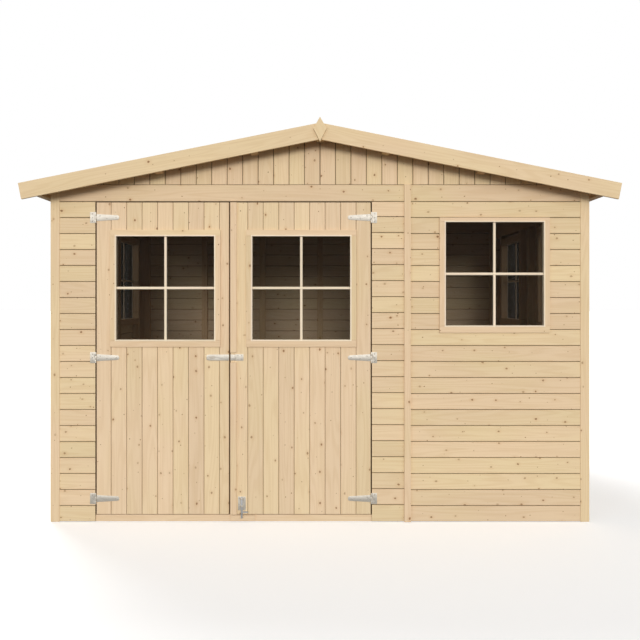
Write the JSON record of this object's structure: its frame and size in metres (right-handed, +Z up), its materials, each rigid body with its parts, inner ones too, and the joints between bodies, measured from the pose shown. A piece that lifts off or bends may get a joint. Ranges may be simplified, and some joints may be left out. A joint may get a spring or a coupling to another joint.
{
  "type": "wooden garden shed",
  "caption": "Boarded timber garden shed with a shallow gable roof, double boarded doors with small-paned windows, and matching windows in the front and sides.",
  "frame": {"origin": "centre of the plan at ground level", "axes": "+Z up, front with the doors towards -Y, +X to the right seen from the front"},
  "size_m": [3.228, 2.384, 2.1961],
  "materials": {
    "wall_boards": "planed, unpainted pine",
    "door_boards": "planed, unpainted pine",
    "trim": "planed, unpainted pine",
    "frame_timber": "sawn, unpainted pine",
    "roof_boards": "planed, unpainted pine",
    "floor_boards": "planed, unpainted pine",
    "zinc": "bright zinc, satin",
    "bolt_steel": "satin",
    "pane": "clear, smooth"
  },
  "bodies": {
    "shell": {"floor": "floor_boards", "floor_bearers": "frame_timber", "front_wall_left": "wall_boards", "front_wall_mid": "wall_boards", "front_wall_right": "wall_boards", "front_header": "wall_boards", "front_gable": "wall_boards", "front_frame": "frame_timber", "door_sill": "trim", "bolt_block": "trim", "left_wall": "wall_boards", "left_wall_frame": "frame_timber", "right_wall": "wall_boards", "right_wall_frame": "frame_timber", "back_wall": "wall_boards", "back_gable": "wall_boards", "back_frame": "frame_timber", "corner_boards": "trim", "joint_battens": "trim", "hinge_leaves": "zinc", "front_window_trim": "trim", "front_window_glass": "pane", "side_window_trims": "trim", "side_window_glass": "pane", "purlins": "frame_timber", "wall_plates": "frame_timber", "roof_left": "roof_boards", "roof_right": "roof_boards", "barge_boards": "trim", "finials": "trim", "eave_battens": "trim"},
    "left_leaf": {"left_door": "door_boards", "left_door_battens": "frame_timber", "left_door_window_trim": "trim", "left_door_glass": "pane", "left_door_straps": "zinc", "hasp_strap": "zinc"},
    "right_leaf": {"right_door": "door_boards", "right_door_battens": "frame_timber", "right_door_window_trim": "trim", "right_door_glass": "pane", "door_cover_strip": "trim", "right_door_straps": "zinc", "hasp_leaf": "zinc", "drop_bolt_plate": "zinc"},
    "bolt": {"drop_bolt": "bolt_steel"}
  },
  "joints": [
    {"name": "left_door_hinge", "type": "hinge", "parent": "shell", "child": "left_leaf", "pos_m": [-1.234, -1.049, 0.9], "axis": [0, 0, -1], "range_deg": [0, 150]},
    {"name": "right_door_hinge", "type": "hinge", "parent": "shell", "child": "right_leaf", "pos_m": [0.283, -1.049, 0.9], "axis": [0, 0, 1], "range_deg": [0, 150]},
    {"name": "drop_bolt_slide", "type": "slide", "parent": "right_leaf", "child": "bolt", "axis": [0, 0, 1], "range_m": [0, 0.022]}
  ]
}
